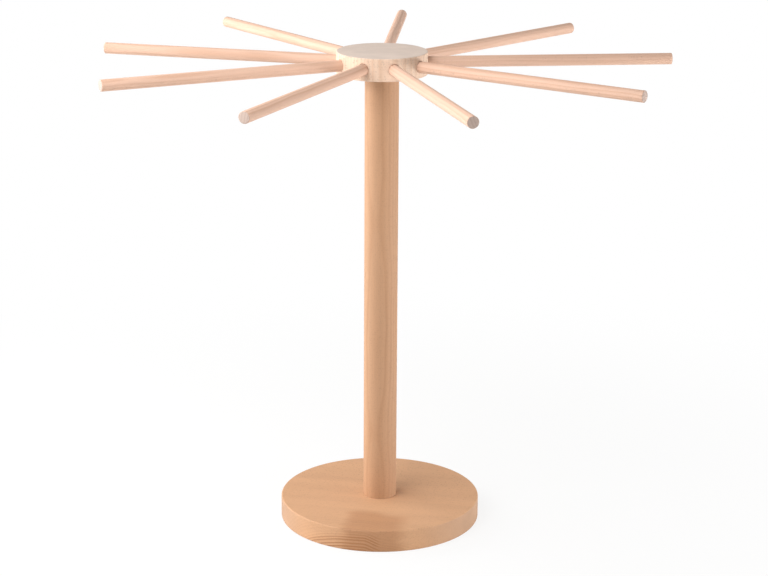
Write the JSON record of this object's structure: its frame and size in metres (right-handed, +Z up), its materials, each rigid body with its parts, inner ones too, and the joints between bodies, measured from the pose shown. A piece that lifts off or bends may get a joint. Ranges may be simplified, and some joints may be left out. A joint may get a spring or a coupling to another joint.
{
  "type": "pasta drying rack",
  "caption": "Tabletop wooden rack: a turned base and column carry a hub with a ring of horizontal rods that pull out for storage.",
  "frame": {"origin": "centre of the base's flat underside, on the centre line of the column and hub", "axes": "+Z up along the column, front towards -Y; the first rod points straight back, along +Y"},
  "size_m": [0.4054, 0.3992, 0.346],
  "materials": {
    "turned_beech": "turned and sanded beech, unfinished",
    "dowel_beech": "sanded beech dowel, unfinished",
    "zinc_plated_steel": "bright zinc plating"
  },
  "bodies": {
    "stand": {"base": "turned_beech", "column": "turned_beech", "hub": "turned_beech", "base_screw": "zinc_plated_steel"},
    "rod_1": {"rod_1": "dowel_beech"},
    "rod_2": {"rod_2": "dowel_beech"},
    "rod_3": {"rod_3": "dowel_beech"},
    "rod_4": {"rod_4": "dowel_beech"},
    "rod_5": {"rod_5": "dowel_beech"},
    "rod_6": {"rod_6": "dowel_beech"},
    "rod_7": {"rod_7": "dowel_beech"},
    "rod_8": {"rod_8": "dowel_beech"},
    "rod_9": {"rod_9": "dowel_beech"}
  },
  "joints": [
    {"name": "rod_1_slide", "type": "slide", "parent": "stand", "child": "rod_1", "axis": [0, 1, 0], "range_m": [0, 0.026]},
    {"name": "rod_2_slide", "type": "slide", "parent": "stand", "child": "rod_2", "axis": [-0.6428, 0.766, 0], "range_m": [0, 0.026]},
    {"name": "rod_3_slide", "type": "slide", "parent": "stand", "child": "rod_3", "axis": [-0.9848, 0.1736, 0], "range_m": [0, 0.026]},
    {"name": "rod_4_slide", "type": "slide", "parent": "stand", "child": "rod_4", "axis": [-0.866, -0.5, 0], "range_m": [0, 0.026]},
    {"name": "rod_5_slide", "type": "slide", "parent": "stand", "child": "rod_5", "axis": [-0.342, -0.9397, 0], "range_m": [0, 0.026]},
    {"name": "rod_6_slide", "type": "slide", "parent": "stand", "child": "rod_6", "axis": [0.342, -0.9397, 0], "range_m": [0, 0.026]},
    {"name": "rod_7_slide", "type": "slide", "parent": "stand", "child": "rod_7", "axis": [0.866, -0.5, 0], "range_m": [0, 0.026]},
    {"name": "rod_8_slide", "type": "slide", "parent": "stand", "child": "rod_8", "axis": [0.9848, 0.1736, 0], "range_m": [0, 0.026]},
    {"name": "rod_9_slide", "type": "slide", "parent": "stand", "child": "rod_9", "axis": [0.6428, 0.766, 0], "range_m": [0, 0.026]}
  ]
}
